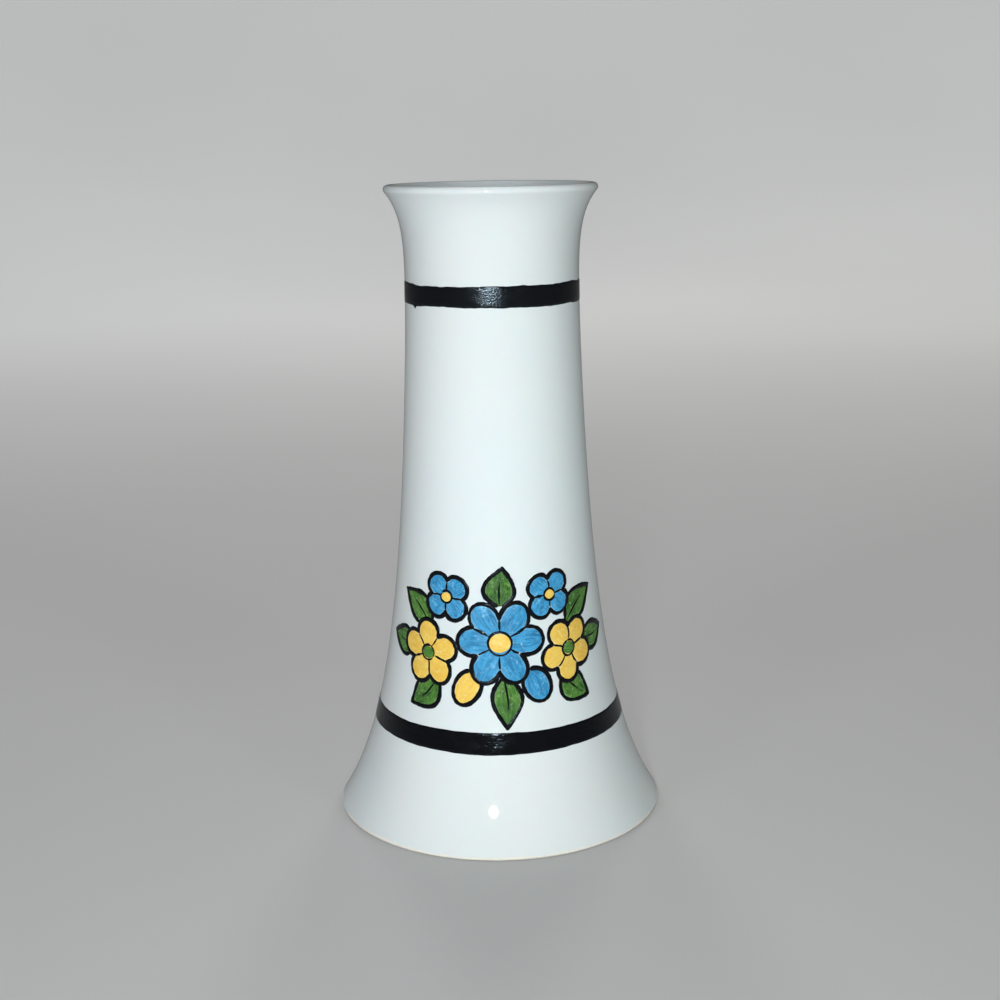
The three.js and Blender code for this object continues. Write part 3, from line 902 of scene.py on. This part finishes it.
for name, at, petals, reach, width, first_petal, eye, colour, eye_colour in BLOSSOMS:
    centre = np.array(at) * MM
    reach, width, eye = reach * MM, width * MM, eye * MM
    fields, rims, hearts = [], [], []
    for i in range(petals):
        direction = math.radians(first_petal) + 2 * math.pi * i / petals
        direction += hand.uniform(-PETAL_TURN, PETAL_TURN)
        length = reach * hand.uniform(*PETAL_REACHES)
        thickness = FIELD_THICKNESS * (1 + PETAL_LEVEL * i)
        field, rim = petal(centre, direction, length, width, eye, thickness)
        fields.append(field)
        rims.append(rim)
        hearts.append(centre + pointing(direction)[0] * reach * PETAL_HEART)
    blossom = enamel_piece(name + "_petals", fields, ENAMELS[colour])
    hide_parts(name)
    dot = enamel_piece(name + "_dot", [disc(centre, eye, EYE_THICKNESS)], ENAMELS[eye_colour])
    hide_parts(name + "_eye")

    # The scalloped edge of the blossom, with a seam down between each petal and the next
    edges = [outward(smooth_path(rim), heart, PETAL_OUTSET) for rim, heart in zip(rims, hearts)]
    for i, edge in enumerate(edges):
        following = (i + 1) % petals
        outline(edge, rims=[rim for k, rim in enumerate(rims) if k != i])
        between = (hearts[i] + hearts[following]) / 2 - centre
        between /= np.linalg.norm(between)
        ray = centre + between * np.linspace(0, reach, SEAM_POINTS)[:, None]
        covered = inside(ray, rims[i]) | inside(ray, rims[following])
        notch = ray[np.flatnonzero(covered)[-1]]
        root = centre + between * eye * hand.uniform(*SEAM_ENDS)
        sway = np.array([-between[1], between[0]]) * hand.uniform(-SEAM_SWAY, SEAM_SWAY)
        seam = [notch + between * SEAM_PAST, (notch + root) / 2 + sway, root]
        outline(seam, width=SEAM_WIDTH, taper=SEAM_TAPER, blunt=SEAM_BLUNT)
    blossom_edges += edges

    # A ring round the eye. The first petal's number only varies where it is begun
    outline(ring_path(centre, eye * RING_REACH, first_petal), width=RING_WIDTH)


# Leaves
# Pointed leaves round the blossoms, each laid as one pull of green enamel and fired with them.
# Its edges and a midrib are drawn in black, and stop where a blossom lies in front.

# A row holds, in millimetres and degrees: name, root, direction, length, width, bow to the left
LEAVES = [
    ("leaf_top", (0.5, 45.0), 86, 7.2, 5.4, 0.4),
    ("leaf_upper_left", (-13.2, 40.4), 141, 9.0, 5.0, -0.7),
    ("leaf_upper_right", (13.9, 40.8), 38, 8.8, 5.0, 0.7),
    ("leaf_outer_left", (-17.0, 36.8), 177, 8.0, 4.6, 0.6),
    ("leaf_outer_right", (17.8, 37.0), 5, 7.6, 4.6, -0.6),
    ("leaf_lower_left", (-11.8, 31.4), 222, 8.6, 5.0, 0.7),
    ("leaf_lower_right", (12.6, 31.8), -40, 8.4, 5.0, -0.7),
    ("leaf_bottom", (0.9, 32.0), -86, 9.2, 5.2, 0.5),
]
LEAF_THICKNESS = 0.055 * MM
LEAF_START = 0.02
LEAF_END = 0.995
LEAF_FULLNESS = 0.85
LEAF_WAVER = 0.05
LEAF_OUTSET = 0.2 * MM
OUTSET_START = 0.08
LEAF_TAPER = 0.8 * MM
LEAF_BLUNT = 0.4
TIP_PAST = 0.6
MIDRIB_SHARE = 0.7
MIDRIB_WIDTH = 0.46 * MM
MIDRIB_TAPER = 2.2 * MM
MIDRIB_BLUNT = 0.15

for name, at, degrees, length, width, bow in LEAVES:
    t = np.linspace(LEAF_START, LEAF_END, POINTS_ALONG)
    along, across = pointing(math.radians(degrees))
    middle = np.array(at) * MM + along * (t * length * MM)[:, None]
    middle = middle + across * (bow * MM * 4 * t * (1 - t))[:, None]
    half = np.sin(math.pi * t ** LEAF_FULLNESS) * width / 2 * MM * (1 + wavering(len(t), LEAF_WAVER))
    blade = enamel_strip(middle, half, LEAF_THICKNESS, FIELD_FLATNESS)
    leaf = enamel_piece(name + "_blade", [blade], ENAMELS["green"])
    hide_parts(name)

    heart = middle[len(middle) // 2]
    beyond_tip = middle[-1] + (middle[-1] - middle[-4]) * TIP_PAST
    outset = LEAF_OUTSET * np.sin(math.pi * np.linspace(OUTSET_START, 1, len(t))) ** 0.5
    for side in (half, -half):
        edge = outward(middle + across * side[:, None], heart, outset)
        pointed = np.concatenate([edge, [beyond_tip]])
        outline(pointed, taper=LEAF_TAPER, blunt=LEAF_BLUNT, rims=blossom_edges)
    midrib = middle[: int(len(middle) * MIDRIB_SHARE)]
    outline(midrib, width=MIDRIB_WIDTH, taper=MIDRIB_TAPER, blunt=MIDRIB_BLUNT, rims=blossom_edges)


# Buds
# Two closed buds below the large blossom, each an oval dab of yellow or blue enamel, fired with
# the rest, with one black stroke drawn round it.

# A row holds, in millimetres and degrees: name, middle, direction, length, width, and its colour
BUDS = [
    ("bud_left", (-5.9, 29.9), 238, 6.4, 4.6, "yellow"),
    ("bud_right", (7.4, 30.2), -60, 6.2, 4.6, "blue"),
]
BUD_THICKNESS = 0.066 * MM
BUD_END = 0.998
BUD_WAVER = 0.04
BUD_OUTSET = 0.24 * MM

for name, at, degrees, length, width, colour in BUDS:
    t = np.sin(np.linspace(-1, 1, POINTS_ALONG) * math.pi / 2) * BUD_END
    along, across = pointing(math.radians(degrees))
    middle = np.array(at) * MM + along * (t * length / 2 * MM)[:, None]
    half = np.sqrt(1 - t ** 2) * width / 2 * MM * (1 + wavering(len(t), BUD_WAVER))
    dab = enamel_strip(middle, half, BUD_THICKNESS, FIELD_FLATNESS)
    bud = enamel_piece(name + "_field", [dab], ENAMELS[colour])
    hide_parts(name)

    heart = middle[len(middle) // 2]
    rim = np.concatenate([middle + across * half[:, None], (middle - across * half[:, None])[::-1]])
    outline(outward(smooth_path(rim), heart, BUD_OUTSET), rims=blossom_edges)


# Outlines of the posy
# All the strokes gathered above, from the scalloped edges to the midribs, in the same black enamel
# as the lower band. They were drawn last with a fine brush, stand a little higher than the petals
# and leaves, and lap over the edges of the colours.

outlines = enamel_piece("posy_outlines", outline_strips, smooth_black)
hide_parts("posy_outline")


# Floor, lights and view
# A plain pale floor that sweeps up all round. One soft lamp hangs overhead, two stand behind the
# piece and three low ones in front of it, and a small bright one by the camera puts a spark on
# the glaze.

FLOOR_TONE = (0.52, 0.528, 0.524)
FLOOR_BOUNCE = (0.38, 0.382, 0.38)
FLOOR_CLOUD = 1.03
FLOOR_DROP = 0.01 * MM
FLOOR_AROUND = 96
FLOOR_LIFT = 0.20
BACKDROP_LIFT = 0.79
LIFT_START = 0.1
LIFT_END = 1.3
SWEEP_START = 0.7
SWEEP_RUN = 1.8
SWEEP_STEPS = 40
SWEEP_TOP = 2.2

sweep = [(0, 0), (SWEEP_START, 0)]
for i in range(SWEEP_STEPS):
    share = (i + 0.5) / SWEEP_STEPS
    climb = math.pi / 2 * share ** 2 * (3 - 2 * share)
    radius, height = sweep[-1]
    length = SWEEP_RUN / SWEEP_STEPS
    sweep.append((radius + length * math.cos(climb), height + length * math.sin(climb)))
sweep.append((sweep[-1][0], SWEEP_TOP))

# The camera sees the floor and its sweep paler than they are to the piece
ground = Finish("pale_floor", Roughness=0.75, Specular_IOR_Level=0.2)
ground_place = ground.place()
tone = ground.ranged(ground.noise(ground_place, 3), 0.3, 0.7)
pale = ground.mixed(tone, FLOOR_TONE, tuple(c * FLOOR_CLOUD for c in FLOOR_TONE))
seen = ground.add("LightPath").outputs["Is Camera Ray"]
ground.use("Base Color", ground.mixed(seen, FLOOR_BOUNCE, pale))
away = ground.add("VectorMath", {0: ground_place}, operation="LENGTH").outputs["Value"]
lift = ground.ranged(away, LIFT_START, LIFT_END, FLOOR_LIFT, BACKDROP_LIFT)
ground.use("Emission Color", pale)
ground.use("Emission Strength", ground.math("MULTIPLY", seen, lift))
ground.material.cycles.emission_sampling = "NONE"

floor_points, floor_faces = turned(sweep, FLOOR_AROUND)
floor = new_piece("floor", floor_points, [face[::-1] for face in floor_faces], ground.material)
floor.location.z = -FLOOR_DROP

FRONT_TINT = (0.945, 1.0, 1.0)
LEFT_TINT = (0.985, 0.955, 1.0)
REAR_LEFT_TINT = (1.0, 0.95, 1.0)
REAR_RIGHT_TINT = (1.0, 0.97, 0.90)
WAIST = (0, 0, HEIGHT * 0.5)


def lamp(name, place, aim, size, power, tint=(1, 1, 1), spread=180, gloss=False):
    """A soft round or oval lamp that faces a point and spreads its light over so many degrees.

    Only a lamp with gloss is mirrored in the glaze.
    """
    data = bpy.data.lights.new(name, "AREA")
    data.shape = "ELLIPSE"
    data.size, data.size_y = size
    data.energy = power
    data.color = tint
    data.spread = math.radians(spread)
    light = bpy.data.objects.new(name, data)
    light.location = place
    light.rotation_euler = (Vector(aim) - Vector(place)).to_track_quat("-Z", "Y").to_euler()
    light.visible_camera = False
    light.visible_glossy = gloss
    bpy.context.scene.collection.objects.link(light)


lamp("front", (-0.05, -0.90, 0.12), WAIST, size=(0.20, 0.20), power=0.30, tint=FRONT_TINT, spread=60)
lamp("side_left", (-0.59, -0.81, 0.15), WAIST, size=(0.24, 0.24), power=0.268, tint=LEFT_TINT, spread=60)
lamp("side_right", (0.59, -0.81, 0.15), WAIST, size=(0.24, 0.24), power=0.235, tint=FRONT_TINT, spread=60)
lamp("spark", (-0.027, -0.305, 0.121), WAIST, size=(0.026, 0.012), power=0.103, tint=FRONT_TINT,
     spread=120, gloss=True)
lamp("overhead", (0, 0.1, 1.4), (0, 0, 0), size=(1.35, 1.35), power=4.2, gloss=True)
lamp("rear_left", (-0.40, 1.50, 0.50), WAIST, size=(0.45, 0.45), power=1.20, tint=REAR_LEFT_TINT,
     spread=70)
lamp("rear_right", (0.40, 1.50, 0.50), WAIST, size=(0.45, 0.45), power=1.20, tint=REAR_RIGHT_TINT,
     spread=70)

# The air above the sweep: dim to the piece, pale to the camera
AIR_TONE = (0.60, 0.62, 0.62)
AIR_STRENGTH = 0.04
AIR_SEEN = 1.0

world = bpy.data.worlds.new("studio")
bpy.context.scene.world = world
world.use_nodes = True
sky = world.node_tree
air = sky.nodes["Background"]
rays = sky.nodes.new("ShaderNodeLightPath")
looked_at = sky.nodes.new("ShaderNodeMath")
looked_at.operation = "MAXIMUM"
sky.links.new(rays.outputs["Is Camera Ray"], looked_at.inputs[0])
sky.links.new(rays.outputs["Is Transmission Ray"], looked_at.inputs[1])
strength = sky.nodes.new("ShaderNodeMapRange")
sky.links.new(looked_at.outputs[0], strength.inputs["Value"])
strength.inputs["To Min"].default_value = AIR_STRENGTH
strength.inputs["To Max"].default_value = AIR_SEEN
sky.links.new(strength.outputs["Result"], air.inputs["Strength"])
air.inputs["Color"].default_value = (*AIR_TONE, 1)

CAMERA_DISTANCE = 298.6 * MM
CAMERA_HEIGHT = 129.6 * MM
CAMERA_PITCH = math.radians(12.993)
CAMERA_YAW = math.radians(0.170)
CAMERA_ROLL = math.radians(-0.886)
CAMERA_NEAREST = 10 * MM
SENSOR_WIDTH = 36
FOCAL_PIXELS = 1579.9
FRAME_PIXELS = 1000

camera_data = bpy.data.cameras.new("view")
camera_data.sensor_width = SENSOR_WIDTH
camera_data.lens = FOCAL_PIXELS / FRAME_PIXELS * SENSOR_WIDTH
camera_data.clip_start = CAMERA_NEAREST
camera = bpy.data.objects.new("view", camera_data)
forward = Vector((math.sin(CAMERA_YAW) * math.cos(CAMERA_PITCH),
                  math.cos(CAMERA_YAW) * math.cos(CAMERA_PITCH), -math.sin(CAMERA_PITCH)))
right = Vector((math.cos(CAMERA_YAW), -math.sin(CAMERA_YAW), 0))
up = right.cross(forward)
tilted_right = right * math.cos(CAMERA_ROLL) + up * math.sin(CAMERA_ROLL)
tilted_up = up * math.cos(CAMERA_ROLL) - right * math.sin(CAMERA_ROLL)
facing = Matrix((tilted_right, tilted_up, -forward)).transposed()
camera.matrix_world = Matrix.Translation((0, -CAMERA_DISTANCE, CAMERA_HEIGHT)) @ facing.to_4x4()
bpy.context.scene.collection.objects.link(camera)
bpy.context.scene.camera = camera
bpy.context.scene.view_settings.view_transform = "Standard"
